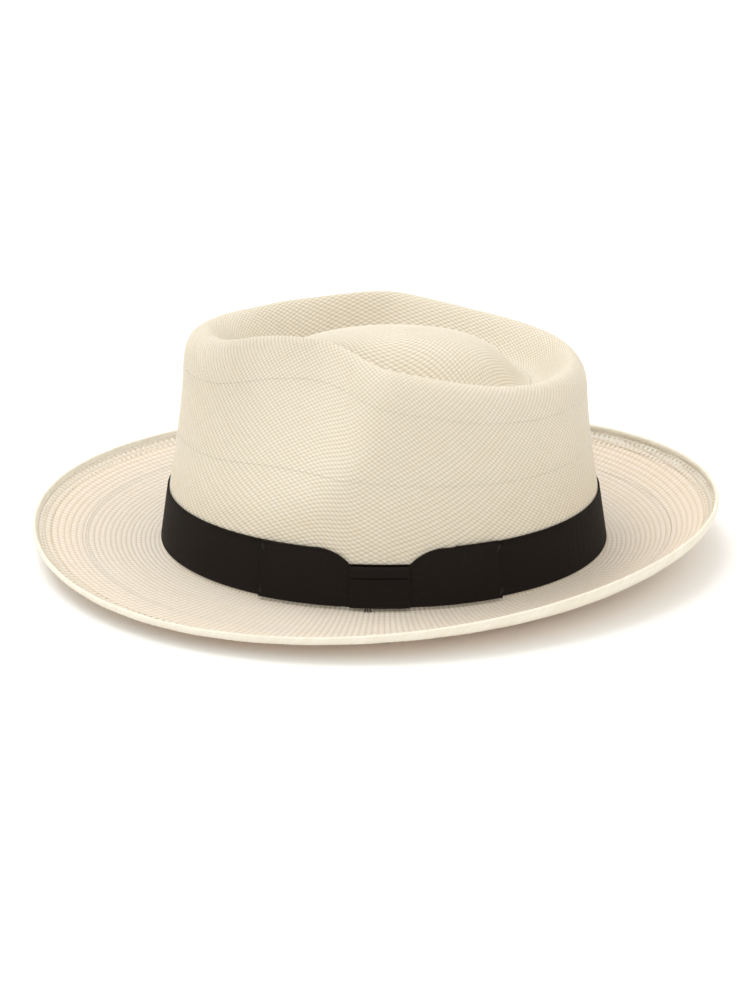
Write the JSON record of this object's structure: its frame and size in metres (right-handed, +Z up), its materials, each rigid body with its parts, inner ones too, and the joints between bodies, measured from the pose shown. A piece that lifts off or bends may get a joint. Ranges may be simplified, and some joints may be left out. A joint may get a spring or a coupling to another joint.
{
  "type": "panama hat",
  "caption": "Woven straw hat with a teardrop crown pinched at the front, a wide brim turned up at its edge, a dark grosgrain ribbon with a flat side bow, and an inner sweatband.",
  "frame": {"origin": "middle of the head opening, on the floor the brim rests on", "axes": "+Z up through the crown, -Y the front where the wearer's face is, +X the wearer's left, where the ribbon bow is"},
  "size_m": [0.2726, 0.3124, 0.1047],
  "materials": {
    "straw": "ivory toquilla straw in a fine plain weave, soft sheen",
    "straw_thread": "matt natural sewing thread",
    "ribbon": "brown-black grosgrain ribbon, ribbed across, faint sheen",
    "black_thread": "matt black sewing thread",
    "sweatband": "cream cotton sweatband, matt",
    "reed": "translucent cream plastic reed"
  },
  "bodies": {
    "root": {"straw_body": "straw", "hem_thread_outer": "straw_thread", "hem_thread_inner": "straw_thread", "hat_band": "ribbon", "bow_loops": "ribbon", "bow_knot": "ribbon", "bow_tacks": "black_thread", "knot_thread_ends": "black_thread", "sweatband": "sweatband", "sweatband_reed": "reed", "sweatband_thread": "straw_thread", "sweatband_bow": "ribbon"}
  },
  "joints": []
}
